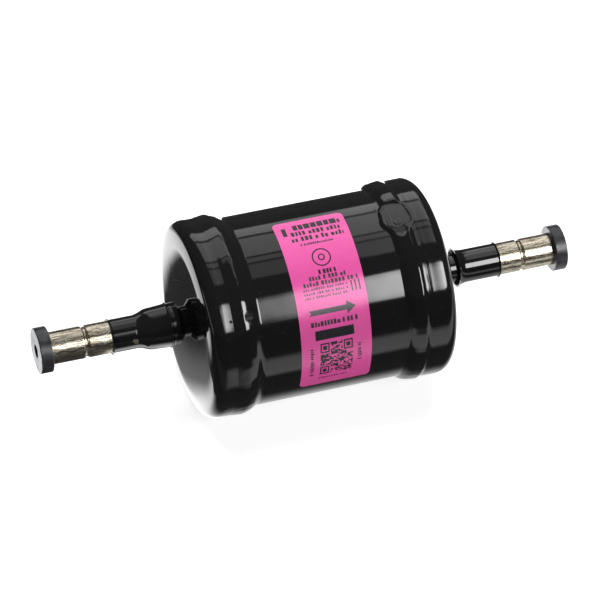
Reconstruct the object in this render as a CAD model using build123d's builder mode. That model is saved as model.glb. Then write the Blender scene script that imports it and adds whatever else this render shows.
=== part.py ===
"""Filter drier for a small refrigeration line: a steel shell closed by two lapped end caps, a
sprung solid core on a perforated plate, and copper solder connections with rubber transit plugs.

The origin is at the middle of the shell on its axis, +X is the direction of flow and +Z is up.
"""

import os
from math import acos, cos, pi, radians, sin, sqrt, tan

from build123d import *

os.makedirs("parts", exist_ok=True)

# ---- driving sizes, in millimetres -------------------------------------------------------------

# Shell and end caps
shell_od = 63.5
shell_wall = 1.6
shell_length = 76.0
shell_end_chamfer = 0.4
cap_wall = 1.6
cap_fit = 0.05  # radial gap between the shell and the cap that slips over it
cap_lap = 10.0  # length of shell covered by each cap's skirt
cap_edge_bevel = 0.5  # how far the weld has melted the skirt back at its edge
cap_knuckle = 2.8  # outside radius at the corner between skirt and face
cap_crown = 300.0  # outside radius of the slightly domed face
shell_end_gap = 0.4

# Lap welds, as run lengths from the cap's edge
bead_toe_run = 4.0
bead_crest_height = 0.45
bead_mid_share = 0.62  # how full the slope from toe to crest is
bead_toe_slope = 0.35
bead_end_slope = 0.12
inlet_bead_crest_run = 3.2
inlet_bead_cover = 6.4
outlet_bead_crest_run = 0.9
outlet_bead_cover = 5.0

# Solder sockets, formed in copper tube
socket_bore_r = 4.8
tube_wall = 0.63
stop_dip = 0.4
stop_half_width = 1.05
paint_build = 0.17
paint_lip_height = 0.3
paint_lip_width = 0.5
inlet_connector_length = 40.5
inlet_stop_depth = 12.0
inlet_bare_length = 20.6
outlet_connector_length = 34.0
outlet_stop_depth = 11.1
outlet_bare_length = 19.2

# Inlet connector's bell
bell_stand_off = 5.8  # from the cap's face to the bell's rim
bell_length = 6.6
bell_flare = 4.3
bell_r = 6.95
bell_taper = 0.4
bell_start_slope = 0.04
bell_lip_length = 0.7
bell_lip_height = 0.3

# Outlet connector's trumpet
trumpet_stand_off = 9.1  # from the cap's face to the trumpet's rim
trumpet_length = 3.9
trumpet_rim_r = 6.85
trumpet_rim_slope = 1.0

# Nipples, turned in steel
nipple_wall = 1.1
nipple_flange_r = 8.6
nipple_flange_thickness = 1.4
nipple_hole_fit = 0.05
nipple_spigot_fit = 0.08
collar_r = 7.15
collar_width = 2.6
collar_chamfer = 1.7
collar_neck_r = 5.2
inlet_spigot_fit = 0.1
inlet_spigot_length = 5.6
outlet_spigot_length = 9.5
braze_gap = 0.4
inlet_braze_depth = 1.6
outlet_braze_recess = 1.4

# Transit plugs
plug_flange_r = 7.7
plug_flange_thickness = 4.2
plug_edge_round = 0.35
plug_stem_length = 9.4
plug_fit = 0.05
plug_rib_height = 0.2
plug_rib_width = 1.3
plug_tip_chamfer = 0.7
plug_hole_r = 2.15
plug_web = 2.0

# Label, bonded round the shell
label_width = 24.1
label_thickness = 0.1
label_corner_r = 1.8
label_centre_x = -0.2
label_low_angle = -25.2  # degrees above the horizontal on the -Y side
label_high_angle = 91.5

# Inner pieces
bore_fit = 0.3  # radial gap between the shell's bore and the plates, pad and gasket
support_thickness = 1.2
support_depth = 6.5
support_bend_r = 1.6
perforation_r = 2.6
perforation_rings = 2
perforation_margin = 6.0  # from the outermost holes' centres to the plate's rim
screen_thickness = 0.4
screen_hem_width = 1.5
screen_hem_thickness = 0.8
pad_thickness = 4.0
pad_edge_bevel = 0.6
gasket_thickness = 2.0
gasket_hole_r = 9.0
core_annulus = 2.95  # flow gap between the core and the shell's bore
core_chamfer = 2.0
core_bore_r = 6.5
core_blind_end = 8.0  # thickness left between the bore's end and the core's inlet end
core_bore_draft = 1.0  # degrees
core_bore_chamfer = 1.0
spring_plate_thickness = 1.2
spring_plate_boss_height = 1.5
spring_plate_draft = 0.8
spring_plate_rim = 3.6
spring_plate_scallops = 6
spring_plate_scallop_r = 5.4
spring_plate_hole_r = 2.5
spring_plate_holes = 6
spring_wire = 2.2
spring_inset = 7.2  # from the core's edge to the middle of the wire
spring_height = 15.6
spring_active_turns = 1.5
spring_end_turns = 0.75
spring_boss_gap = 0.3
spring_ground_share = 0.3  # share of the wire ground away at each end

# ---- sizes that follow -------------------------------------------------------------------------

shell_r = shell_od / 2
shell_bore_r = shell_r - shell_wall
shell_end = shell_length / 2
cap_bore_r = shell_r + cap_fit
cap_r = cap_bore_r + cap_wall
cap_edge = shell_end - cap_lap
knuckle_x = shell_end + shell_end_gap
knuckle_r = cap_r - cap_knuckle
crown_centre = knuckle_x - sqrt((cap_crown - cap_knuckle) ** 2 - knuckle_r**2)
crown_angle = acos(knuckle_r / (cap_crown - cap_knuckle))


def crown_x(radius, inset=0.0):
    """Distance from the middle to the cap's face at a radius, on its outside or inset from it."""
    return crown_centre + sqrt((cap_crown - inset) ** 2 - radius**2)


tube_r = socket_bore_r + tube_wall
paint_r = tube_r + paint_build
lip_r = tube_r + paint_lip_height
cap_face = crown_x(0)
bell_rim = cap_face + bell_stand_off
inlet_mouth = bell_rim + inlet_connector_length
trumpet_rim = cap_face + trumpet_stand_off
outlet_mouth = trumpet_rim + outlet_connector_length
bell_bore_r = bell_r - tube_wall
inlet_spigot_r = bell_bore_r - inlet_spigot_fit
outlet_neck_r = socket_bore_r - nipple_spigot_fit
collar_end = bell_rim - braze_gap
inner_r = shell_bore_r - bore_fit
core_r = shell_bore_r - core_annulus
spring_mean_r = core_r - spring_inset
spring_outer_r = spring_mean_r + spring_wire / 2
spring_boss_r = spring_mean_r - spring_wire / 2 - spring_boss_gap

# Along the axis: plate, screen, pad and gasket stand on the outlet cap, the spring on the inlet
# cap, and the core takes the length between them.
support_end = crown_x(inner_r, cap_wall)
support_face = support_end - support_depth
screen_face = support_face - screen_hem_thickness
pad_face = screen_face - pad_thickness
core_outlet_end = pad_face - gasket_thickness
spring_cap_seat = -crown_x(spring_outer_r, cap_wall)
spring_seat = spring_cap_seat + spring_height
core_inlet_end = spring_seat + spring_plate_thickness


def end_plane(side, along=0.0):
    """Plane whose x runs outwards along the axis on one side, and whose y is the radius."""
    return Plane(origin=(side * along, 0, 0), x_dir=(side, 0, 0), z_dir=(0, 0, 1))


def disc_plane(along):
    """Plane square to the axis."""
    return Plane.YZ.offset(along)


def save(name, node):
    """Label a finished piece and write it as its own file."""
    node.part.label = name
    export_step(node.part, "parts/" + name + ".step")


# ---- shell and end caps ------------------------------------------------------------------------

with BuildPart() as shell_tube:
    with BuildSketch(Plane.XY):
        with BuildLine():
            Polyline(
                (-shell_end, shell_bore_r),
                (shell_end, shell_bore_r),
                (shell_end, shell_r - shell_end_chamfer),
                (shell_end - shell_end_chamfer, shell_r),
                (shell_end_chamfer - shell_end, shell_r),
                (-shell_end, shell_r - shell_end_chamfer),
                close=True,
            )
        make_face()
    revolve(axis=Axis.X)
save("shell_tube", shell_tube)


def end_cap(side, hole_r, bead_cover):
    """Pressed cup: skirt over the shell, rounded corner, slightly domed face, pierced hole."""
    half_angle = (pi / 2 - crown_angle) / 2

    def knuckle_point(radius, angle):
        return (knuckle_x + radius * sin(angle), knuckle_r + radius * cos(angle))

    def crown_line(inset, skirt_start):
        """Skirt, knuckle and crown at one depth below the outside."""
        knuckle = cap_knuckle - inset
        skirt = Line((skirt_start, cap_r - inset), (knuckle_x, cap_r - inset))
        corner = ThreePointArc(
            skirt @ 1, knuckle_point(knuckle, crown_angle / 2), knuckle_point(knuckle, crown_angle)
        )
        middle_r = (cap_crown - inset) * sin(half_angle)
        ThreePointArc(
            corner @ 1, (crown_x(middle_r, inset), middle_r), (crown_x(hole_r, inset), hole_r)
        )

    with BuildPart() as cap:
        with BuildSketch(end_plane(side)):
            with BuildLine():
                crown_line(0, cap_edge + bead_cover)
                crown_line(cap_wall, cap_edge)
                Polyline(
                    (cap_edge, cap_bore_r),
                    (cap_edge, cap_r - cap_edge_bevel),
                    (cap_edge + bead_cover, cap_r),
                )
                Line((crown_x(hole_r), hole_r), (crown_x(hole_r, cap_wall), hole_r))
            make_face()
        revolve(axis=Axis.X)
    return cap


inlet_end_cap = end_cap(-1, collar_neck_r + nipple_hole_fit, inlet_bead_cover)
save("inlet_end_cap", inlet_end_cap)
outlet_end_cap = end_cap(1, outlet_neck_r + nipple_hole_fit, outlet_bead_cover)
save("outlet_end_cap", outlet_end_cap)


def weld_bead(side, crest_run, cover):
    """Lap weld that rises from the shell to a crest past the cap's edge and ends on the skirt."""
    toe = (cap_edge - bead_toe_run, shell_r)
    crest = (cap_edge + crest_run, cap_r + bead_crest_height)
    mid_x = cap_edge - bead_toe_run * (1 - bead_mid_share)
    middle = (mid_x, shell_r + (crest[1] - shell_r) * bead_mid_share)
    with BuildPart() as bead:
        with BuildSketch(end_plane(side)):
            with BuildLine():
                rise = Spline(toe, middle, crest, tangents=((1, bead_toe_slope), (1, 0)))
                bead_end = (cap_edge + cover, cap_r)
                Spline(rise @ 1, bead_end, tangents=((1, 0), (1, -bead_end_slope)))
                Polyline(
                    (cap_edge + cover, cap_r),
                    (cap_edge, cap_r - cap_edge_bevel),
                    (cap_edge, shell_r),
                    toe,
                )
            make_face()
        revolve(axis=Axis.X)
    return bead


inlet_weld_bead = weld_bead(-1, inlet_bead_crest_run, inlet_bead_cover)
save("inlet_weld_bead", inlet_weld_bead)
outlet_weld_bead = weld_bead(1, outlet_bead_crest_run, outlet_bead_cover)
save("outlet_weld_bead", outlet_weld_bead)

# ---- connections -------------------------------------------------------------------------------


def socket_lines(radius, stop, mouth, inner_end):
    """Tube wall line from the mouth inwards, with the rolled groove that stops the pipe."""
    Line((mouth, radius), (stop + stop_half_width, radius))
    ThreePointArc(
        (stop + stop_half_width, radius),
        (stop, radius - stop_dip),
        (stop - stop_half_width, radius),
    )
    Line((stop - stop_half_width, radius), (inner_end, radius))


def painted_step(edge):
    """Step up from bare copper to the coated stretch, with the raised edge that masking leaves."""
    Polyline(
        (edge, tube_r),
        (edge, lip_r),
        (edge - paint_lip_width, lip_r),
        (edge - paint_lip_width, paint_r),
    )


bell_start = bell_rim + bell_length
flare_start = bell_start + bell_flare
inlet_stop = inlet_mouth - inlet_stop_depth
inlet_paint_edge = inlet_mouth - inlet_bare_length


def bell_lines(shift, tube_end_r):
    """Swelled end of the inlet connector: an S-shaped flare, a slow taper and a small lip."""
    flare = Spline(
        (flare_start, tube_end_r),
        (bell_start, bell_r + shift),
        tangents=((-1, 0), (-1, bell_start_slope)),
    )
    taper_end = (bell_rim + bell_lip_length, bell_r + bell_taper + shift)
    Line(flare @ 1, taper_end)
    Line(taper_end, (bell_rim, bell_r + bell_taper + bell_lip_height + shift))


with BuildPart() as inlet_connector:
    with BuildSketch(end_plane(-1)):
        with BuildLine():
            socket_lines(tube_r, inlet_stop, inlet_mouth, inlet_paint_edge)
            painted_step(inlet_paint_edge)
            Line((inlet_paint_edge - paint_lip_width, paint_r), (flare_start, paint_r))
            bell_lines(0, paint_r)
            socket_lines(socket_bore_r, inlet_stop, inlet_mouth, flare_start)
            bell_lines(-tube_wall, socket_bore_r)
            Line((inlet_mouth, socket_bore_r), (inlet_mouth, tube_r))
            rim_r = bell_r + bell_taper + bell_lip_height
            Line((bell_rim, rim_r - tube_wall), (bell_rim, rim_r))
        make_face()
    revolve(axis=Axis.X)
save("inlet_connector", inlet_connector)

trumpet_start = trumpet_rim + trumpet_length
outlet_stop = outlet_mouth - outlet_stop_depth
outlet_paint_edge = outlet_mouth - outlet_bare_length


def trumpet_line(tube_end_r, rim_r):
    """Short flare that opens towards the body."""
    Spline(
        (trumpet_start, tube_end_r),
        (trumpet_rim, rim_r),
        tangents=((-1, 0), (-1, trumpet_rim_slope)),
    )


with BuildPart() as outlet_connector:
    with BuildSketch(end_plane(1)):
        with BuildLine():
            socket_lines(tube_r, outlet_stop, outlet_mouth, outlet_paint_edge)
            painted_step(outlet_paint_edge)
            Line((outlet_paint_edge - paint_lip_width, paint_r), (trumpet_start, paint_r))
            trumpet_line(paint_r, trumpet_rim_r)
            socket_lines(socket_bore_r, outlet_stop, outlet_mouth, trumpet_start)
            trumpet_line(socket_bore_r, trumpet_rim_r - tube_wall)
            Line((outlet_mouth, socket_bore_r), (outlet_mouth, tube_r))
            Line((trumpet_rim, trumpet_rim_r - tube_wall), (trumpet_rim, trumpet_rim_r))
        make_face()
    revolve(axis=Axis.X)
save("outlet_connector", outlet_connector)

flange_seat = crown_x(nipple_flange_r, cap_wall)
flange_back = flange_seat - nipple_flange_thickness

with BuildPart() as inlet_nipple:
    with BuildSketch(end_plane(-1)):
        with BuildLine():
            collar_start = collar_end - collar_width
            spigot_tip = collar_end + inlet_spigot_length
            inlet_bore_r = collar_neck_r - nipple_wall
            Polyline(
                (flange_back, inlet_bore_r),
                (flange_back, nipple_flange_r),
                (flange_seat, nipple_flange_r),
                (flange_seat, collar_neck_r),
                (collar_start - collar_chamfer, collar_neck_r),
                (collar_start, collar_r),
                (collar_end, collar_r),
                (collar_end, inlet_spigot_r),
                (spigot_tip, inlet_spigot_r),
                (spigot_tip, inlet_bore_r),
                close=True,
            )
        make_face()
    revolve(axis=Axis.X)
save("inlet_nipple", inlet_nipple)

with BuildPart() as outlet_nipple:
    with BuildSketch(end_plane(1)):
        with BuildLine():
            neck_tip = trumpet_rim + outlet_spigot_length
            outlet_bore_r = outlet_neck_r - nipple_wall
            Polyline(
                (flange_back, outlet_bore_r),
                (flange_back, nipple_flange_r),
                (flange_seat, nipple_flange_r),
                (flange_seat, outlet_neck_r),
                (neck_tip, outlet_neck_r),
                (neck_tip, outlet_bore_r),
                close=True,
            )
        make_face()
    revolve(axis=Axis.X)
save("outlet_nipple", outlet_nipple)

with BuildPart() as inlet_braze_ring:
    with BuildSketch(end_plane(-1)):
        with Locations((collar_end, inlet_spigot_r)):
            Rectangle(
                braze_gap + inlet_braze_depth,
                collar_r - inlet_spigot_r - paint_build,
                align=(Align.MIN, Align.MIN),
            )
    revolve(axis=Axis.X)
    add(inlet_connector.part, mode=Mode.SUBTRACT)
save("inlet_braze_ring", inlet_braze_ring)

with BuildPart() as outlet_braze_ring:
    with BuildSketch(end_plane(1)):
        with BuildLine():
            trumpet_line(socket_bore_r, trumpet_rim_r - tube_wall)
            Polyline(
                (trumpet_rim, trumpet_rim_r - tube_wall),
                (trumpet_rim, outlet_neck_r),
                (trumpet_start, outlet_neck_r),
                (trumpet_start, socket_bore_r),
            )
        make_face()
        with Locations((trumpet_rim, outlet_neck_r)):
            Rectangle(
                outlet_braze_recess,
                trumpet_rim_r - outlet_neck_r,
                align=(Align.MIN, Align.MIN),
                mode=Mode.SUBTRACT,
            )
    revolve(axis=Axis.X)
save("outlet_braze_ring", outlet_braze_ring)


def transit_plug(side, mouth):
    """Rubber stopper: a thick head against the tube's end and a ribbed stem in its bore."""
    rib_r = socket_bore_r - plug_fit
    stem_r = rib_r - plug_rib_height
    tip = -plug_stem_length
    rib_middles = (tip * 0.25, tip * 0.6)
    hole_depth = plug_flange_thickness + plug_stem_length - plug_web
    with BuildPart() as plug:
        with BuildSketch(end_plane(side, mouth)):
            with Locations((0, 0)):
                Rectangle(plug_flange_thickness, plug_flange_r, align=(Align.MIN, Align.MIN))
            with BuildLine():
                Polyline(
                    (0, 0),
                    (0, stem_r),
                    (tip + plug_tip_chamfer, stem_r),
                    (tip, stem_r - plug_tip_chamfer),
                    (tip, 0),
                    close=True,
                )
            make_face()
            for middle in rib_middles:
                with Locations((middle, 0)):
                    Rectangle(plug_rib_width, rib_r, align=(Align.CENTER, Align.MIN))
        revolve(axis=Axis.X)
        head_rims = plug.edges().filter_by(GeomType.CIRCLE).group_by(SortBy.RADIUS)[-1]
        fillet(head_rims, radius=plug_edge_round)
        with BuildSketch(end_plane(side, mouth)):
            with Locations((plug_flange_thickness, 0)):
                Rectangle(hole_depth, plug_hole_r, align=(Align.MAX, Align.MIN))
        revolve(axis=Axis.X, mode=Mode.SUBTRACT)
    return plug


inlet_plug = transit_plug(-1, inlet_mouth)
save("inlet_plug", inlet_plug)
outlet_plug = transit_plug(1, outlet_mouth)
save("outlet_plug", outlet_plug)

# ---- label -------------------------------------------------------------------------------------

label_top = radians(label_high_angle)
label_plane = Plane(
    origin=(label_centre_x, 0, 0), x_dir=(1, 0, 0), z_dir=(0, -sin(label_top), -cos(label_top))
)

with BuildPart() as product_label:
    with BuildSketch(label_plane):
        with Locations((0, shell_r)):
            Rectangle(label_width, label_thickness, align=(Align.CENTER, Align.MIN))
    revolve(axis=Axis.X, revolution_arc=label_high_angle - label_low_angle)
    corners = product_label.edges().group_by(SortBy.LENGTH)[0]
    fillet(corners, radius=label_corner_r)
save("product_label", product_label)

# ---- inner pieces, stacked from the outlet end -------------------------------------------------


def perforations():
    """Round holes in evenly spaced rings, as many as fill each ring."""
    field_r = inner_r - support_thickness - perforation_margin
    Circle(perforation_r)
    for ring in range(1, perforation_rings + 1):
        with PolarLocations(field_r * ring / perforation_rings, 6 * ring):
            Circle(perforation_r)


with BuildPart() as outlet_support_plate:
    with BuildSketch(Plane.XY):
        with BuildLine():
            Polyline(
                (support_face, 0),
                (support_face, inner_r),
                (support_end, inner_r),
                (support_end, inner_r - support_thickness),
                (support_face + support_thickness, inner_r - support_thickness),
                (support_face + support_thickness, 0),
                close=True,
            )
        make_face()
    revolve(axis=Axis.X)
    outer_bend = outlet_support_plate.edges().filter_by(GeomType.CIRCLE)
    outer_bend = outer_bend.group_by(Axis.X)[0].sort_by(SortBy.RADIUS)[-1]
    fillet(outer_bend, radius=support_bend_r)
    with BuildSketch(disc_plane(support_face)):
        perforations()
    extrude(amount=support_thickness, mode=Mode.SUBTRACT)
save("outlet_support_plate", outlet_support_plate)

with BuildPart() as outlet_screen:
    with BuildSketch(disc_plane(screen_face)):
        Circle(inner_r)
    extrude(amount=screen_hem_thickness)
    with BuildSketch(disc_plane(screen_face)):
        Circle(inner_r - screen_hem_width)
    extrude(amount=screen_hem_thickness - screen_thickness, mode=Mode.SUBTRACT)
save("outlet_screen", outlet_screen)

with BuildPart() as filter_pad:
    with BuildSketch(disc_plane(pad_face)):
        Circle(inner_r)
    extrude(amount=pad_thickness)
    chamfer(filter_pad.edges().filter_by(GeomType.CIRCLE), length=pad_edge_bevel)
save("filter_pad", filter_pad)

with BuildPart() as core_gasket:
    with BuildSketch(disc_plane(core_outlet_end)):
        Circle(inner_r)
        Circle(gasket_hole_r, mode=Mode.SUBTRACT)
    extrude(amount=gasket_thickness)
save("core_gasket", core_gasket)

with BuildPart() as desiccant_core:
    with BuildSketch(Plane.XY):
        with BuildLine():
            bore_end = core_inlet_end + core_blind_end
            bore_shrink = (core_outlet_end - bore_end) * tan(radians(core_bore_draft))
            Polyline(
                (core_inlet_end, 0),
                (core_inlet_end, core_r - core_chamfer),
                (core_inlet_end + core_chamfer, core_r),
                (core_outlet_end - core_chamfer, core_r),
                (core_outlet_end, core_r - core_chamfer),
                (core_outlet_end, core_bore_r + core_bore_chamfer),
                (core_outlet_end - core_bore_chamfer, core_bore_r),
                (bore_end, core_bore_r - bore_shrink),
                (bore_end, 0),
                close=True,
            )
        make_face()
    revolve(axis=Axis.X)
save("desiccant_core", desiccant_core)

boss_face = spring_seat - spring_plate_boss_height
with BuildPart() as spring_plate:
    with BuildSketch(Plane.XY):
        with BuildLine():
            Polyline(
                (boss_face, 0),
                (boss_face, spring_boss_r - spring_plate_draft),
                (spring_seat, spring_boss_r),
                (spring_seat, inner_r - spring_plate_thickness),
                (spring_seat - spring_plate_rim, inner_r - spring_plate_thickness),
                (spring_seat - spring_plate_rim, inner_r),
                (core_inlet_end, inner_r),
                (core_inlet_end, spring_boss_r - spring_plate_thickness),
                (
                    core_inlet_end - spring_plate_boss_height,
                    spring_boss_r - spring_plate_thickness - spring_plate_draft,
                ),
                (core_inlet_end - spring_plate_boss_height, 0),
                close=True,
            )
        make_face()
    revolve(axis=Axis.X)
    with BuildSketch(disc_plane(core_inlet_end)):
        with PolarLocations(inner_r, spring_plate_scallops):
            Circle(spring_plate_scallop_r)
        with PolarLocations(spring_boss_r / 2, spring_plate_holes):
            Circle(spring_plate_hole_r)
        Circle(spring_plate_hole_r)
    extrude(amount=-(spring_plate_thickness + spring_plate_rim), mode=Mode.SUBTRACT)
save("spring_plate", spring_plate)

# The spring's wire line climbs slowly over its closed end turns and evenly between them.
spring_turns = spring_active_turns + 2 * spring_end_turns
points_per_turn = 8
wire_inset = spring_wire * (0.5 - spring_ground_share)
wire_start = spring_cap_seat + wire_inset
wire_climb = spring_height - 2 * wire_inset
# Steady climb of one active turn; the end turns ease into it from flat.
turn_climb = wire_climb / (spring_active_turns + spring_end_turns)


def spring_climb(turn):
    """Distance along the axis reached after a number of turns."""
    if turn < spring_end_turns:
        return turn_climb * turn**2 / (2 * spring_end_turns)
    if turn > spring_turns - spring_end_turns:
        return wire_climb - turn_climb * (spring_turns - turn) ** 2 / (2 * spring_end_turns)
    return turn_climb * (turn - spring_end_turns / 2)


spring_points = []
for step in range(round(spring_turns * points_per_turn) + 1):
    turn = step / points_per_turn
    angle = 2 * pi * turn
    spring_points.append(
        (
            wire_start + spring_climb(turn),
            spring_mean_r * cos(angle),
            spring_mean_r * sin(angle),
        )
    )

with BuildPart() as core_spring:
    with BuildLine():
        wire_line = Spline(*spring_points)
    with BuildSketch(Plane(origin=wire_line @ 0, z_dir=wire_line % 0)):
        Circle(spring_wire / 2)
    sweep(is_frenet=True)
    split(bisect_by=disc_plane(spring_cap_seat), keep=Keep.TOP)
    split(bisect_by=disc_plane(spring_seat), keep=Keep.BOTTOM)
save("core_spring", core_spring)
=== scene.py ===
"""Looks of the filter drier: smooth glossy skins over the CAD frame, printed label and studio."""

import math
import random

import bpy
import numpy as np
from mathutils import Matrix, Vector


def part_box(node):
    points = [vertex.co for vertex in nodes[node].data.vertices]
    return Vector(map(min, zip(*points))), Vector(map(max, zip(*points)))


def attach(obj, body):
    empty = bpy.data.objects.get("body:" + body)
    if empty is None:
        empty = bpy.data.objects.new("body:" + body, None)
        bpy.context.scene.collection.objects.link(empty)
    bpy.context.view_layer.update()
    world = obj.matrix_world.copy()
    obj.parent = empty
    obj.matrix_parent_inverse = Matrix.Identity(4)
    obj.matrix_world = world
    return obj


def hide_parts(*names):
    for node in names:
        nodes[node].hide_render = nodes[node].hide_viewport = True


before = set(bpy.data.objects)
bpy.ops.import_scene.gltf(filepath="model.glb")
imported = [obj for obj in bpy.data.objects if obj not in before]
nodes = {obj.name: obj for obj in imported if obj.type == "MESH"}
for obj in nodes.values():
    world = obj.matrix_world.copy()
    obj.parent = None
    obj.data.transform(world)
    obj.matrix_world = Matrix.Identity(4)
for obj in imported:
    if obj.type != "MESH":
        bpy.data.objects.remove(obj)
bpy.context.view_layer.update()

MM = 0.001
TURNS = 240
INLET, OUTLET = -1, 1


# ---- sizes read from the frame, in metres --------------------------------------------------------


def reach(node):
    """Nearest and farthest distance of a node from the middle along X, and its largest radius."""
    low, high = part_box(node)
    ends = sorted((abs(low.x), abs(high.x)))
    return ends[0], ends[1], high.z


shell_r = reach("shell_tube")[2]
shell_end = reach("shell_tube")[1]
cap_edge, _, cap_r = reach("outlet_end_cap")
bead_r = reach("outlet_weld_bead")[2]
bell_rim, inlet_mouth, bell_r = reach("inlet_connector")
trumpet_rim, outlet_mouth, trumpet_r = reach("outlet_connector")
nipple_end = reach("inlet_nipple")[1]
plug_r = reach("inlet_plug")[2]

# ---- meshes --------------------------------------------------------------------------------------


def curve(points, steps=8):
    """Catmull-Rom line through points given as (along, radius) pairs."""
    p = np.array([points[0], *points, points[-1]], float)
    line = []
    for i in range(1, len(p) - 2):
        a, b, c, d = p[i - 1 : i + 3]
        square, cube = 2 * a - 5 * b + 4 * c - d, 3 * b - a - 3 * c + d
        for t in np.linspace(0, 1, steps, endpoint=False):
            line.append(0.5 * (2 * b + (c - a) * t + square * t**2 + cube * t**3))
    line.append(p[-1])
    return [tuple(q) for q in line]


def arc(along, radius, size, start, end, steps=10):
    """Part of a circle, its angles in degrees from the axis direction."""
    turns = np.radians(np.linspace(start, end, steps))
    return [(along + size * math.cos(t), radius + size * math.sin(t)) for t in turns]


def add_mesh(name, vertices, faces, material):
    mesh = bpy.data.meshes.new(name)
    mesh.from_pydata([tuple(v) for v in vertices], [], faces)
    mesh.polygons.foreach_set("use_smooth", [True] * len(mesh.polygons))
    mesh.materials.append(material)
    piece = bpy.data.objects.new(name, mesh)
    bpy.context.scene.collection.objects.link(piece)
    return piece


def held(line, hold=0.12 * MM):
    """The closed line with a point close to each end of its long runs, so that flats shade flat."""
    points = []
    for (x0, r0), (x1, r1) in zip(line, line[1:] + line[:1]):
        points.append((x0, r0))
        run = math.hypot(x1 - x0, r1 - r0)
        if run > 5 * hold:
            for share in (hold / run, 1 - hold / run):
                points.append((x0 + (x1 - x0) * share, r0 + (r1 - r0) * share))
    return points


def lathe(name, side, line, material, shape=None, crease=35, turns=TURNS):
    """Closed (along, radius) line turned about the axis; shape(along, angle) moves points out."""
    line = np.array(held(line))
    angles = np.linspace(0, 2 * math.pi, turns, endpoint=False)
    along, angle = np.meshgrid(line[:, 0], angles, indexing="ij")
    radius = np.repeat(line[:, 1:2], turns, axis=1)
    if shape is not None:
        radius = radius + shape(along, angle)
    points = np.stack((side * along, -radius * np.cos(angle), radius * np.sin(angle)), axis=-1)
    rings = len(line)
    faces = []
    for i in range(rings):
        for j in range(turns):
            next_ring, next_turn = (i + 1) % rings * turns, (j + 1) % turns
            face = (i * turns + j, i * turns + next_turn, next_ring + next_turn, next_ring + j)
            faces.append(face if side == INLET else face[::-1])
    piece = add_mesh(name, points.reshape(-1, 3), faces, material)
    piece.data.set_sharp_from_angle(angle=math.radians(crease))
    return piece


def place(piece, body, slot, *replaced):
    """Puts a finished piece on its body, in place of the CAD nodes that it stands for."""
    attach(piece, body)
    if replaced:
        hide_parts(*replaced)


# ---- materials -----------------------------------------------------------------------------------


class Nodes:
    """Short way to write a node material."""

    def __init__(self, name, **sockets):
        self.material = bpy.data.materials.new(name)
        self.material.use_nodes = True
        self.tree = self.material.node_tree
        self.shader = self.tree.nodes["Principled BSDF"]
        for socket, value in sockets.items():
            self.shader.inputs[socket.replace("_", " ")].default_value = value

    def add(self, kind, settings=None, **inputs):
        node = self.tree.nodes.new(kind)
        for key, value in (settings or {}).items():
            setattr(node, key, value)
        for key, value in inputs.items():
            self.put(node, key.replace("_", " "), value)
        return node

    def put(self, node, key, value):
        """Links or sets an input, named or numbered as in i0."""
        socket = node.inputs[int(key[1:]) if key[0] == "i" and key[1:].isdigit() else key]
        if isinstance(value, bpy.types.NodeSocket):
            self.tree.links.new(value, socket)
        else:
            socket.default_value = value

    def maths(self, operation, a, b=0.0, c=0.0):
        node = self.add("ShaderNodeMath", {"operation": operation}, i0=a, i1=b, i2=c)
        return node.outputs[0]

    def object_point(self, stretch=(1, 1, 1)):
        source = self.add("ShaderNodeTexCoord").outputs["Object"]
        return self.add("ShaderNodeMapping", Vector=source, Scale=stretch).outputs[0]

    def noise(self, scale, detail=2.0, stretch=(1, 1, 1)):
        point = self.object_point(stretch)
        node = self.add("ShaderNodeTexNoise", Vector=point, Scale=scale, Detail=detail)
        return node.outputs["Fac"]

    def ramp(self, value, low, high, start=0.0, end=1.0):
        """Smooth step from start to end while the value goes from low to high."""
        node = self.add("ShaderNodeMapRange", {"interpolation_type": "SMOOTHSTEP"}, Value=value)
        self.put(node, "From Min", low)
        self.put(node, "From Max", high)
        self.put(node, "To Min", start)
        self.put(node, "To Max", end)
        return node.outputs[0]

    def band(self, value, low, high, soft):
        """1 between low and high, fading to 0 over soft on both sides of each limit."""
        rising = self.ramp(value, low - soft, low + soft)
        return self.maths("MULTIPLY", rising, self.ramp(value, high - soft, high + soft, 1.0, 0.0))

    def mix(self, factor, first, second):
        node = self.add("ShaderNodeMix", {"data_type": "RGBA"}, i0=factor, i6=first, i7=second)
        return node.outputs[2]

    def bump(self, height, distance, strength=1.0):
        node = self.add("ShaderNodeBump", Height=height, Distance=distance, Strength=strength)
        return node.outputs[0]

    def glow(self, strength):
        """The material as a plain light source."""
        emission = self.add("ShaderNodeEmission", Strength=strength)
        surface = self.tree.nodes["Material Output"].inputs["Surface"]
        self.tree.links.new(emission.outputs[0], surface)
        return self.material

    def shade(self, **sockets):
        """The finished material, with inputs of its shader set or linked."""
        for key, value in sockets.items():
            self.put(self.shader, key.replace("_", " "), value)
        return self.material


def colour(red, green, blue):
    return (red, green, blue, 1.0)


BLACK = colour(0.0085, 0.0085, 0.0095)
COPPER = colour(0.63, 0.585, 0.47)
COPPER_DARK = colour(0.14, 0.092, 0.062)
WHITE = colour(1, 1, 1)
CHIP = (-60.9 * MM, -5.6 * MM, 0.2 * MM)  # where the coating of the inlet tube is chipped
CHIP_REACH = 2.0 * MM


def black_coating():
    """Glossy coating with slow sagging, fine orange peel and specks of dust."""
    clean_roughness, dust_adds = 0.055, 0.25
    peel_share = 0.03
    coat = Nodes("black_coating", Base_Color=BLACK, Specular_IOR_Level=0.5)
    sag = coat.noise(90.0, 1.0)
    peel = coat.noise(900.0, 2.0)
    dust = coat.ramp(coat.noise(1500.0, 3.0), 0.66, 0.74)
    roughness = coat.maths("MULTIPLY_ADD", dust, dust_adds, clean_roughness)
    height = coat.maths("MULTIPLY_ADD", peel, peel_share, sag)
    return coat.shade(Roughness=roughness, Normal=coat.bump(height, 0.03 * MM))


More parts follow.
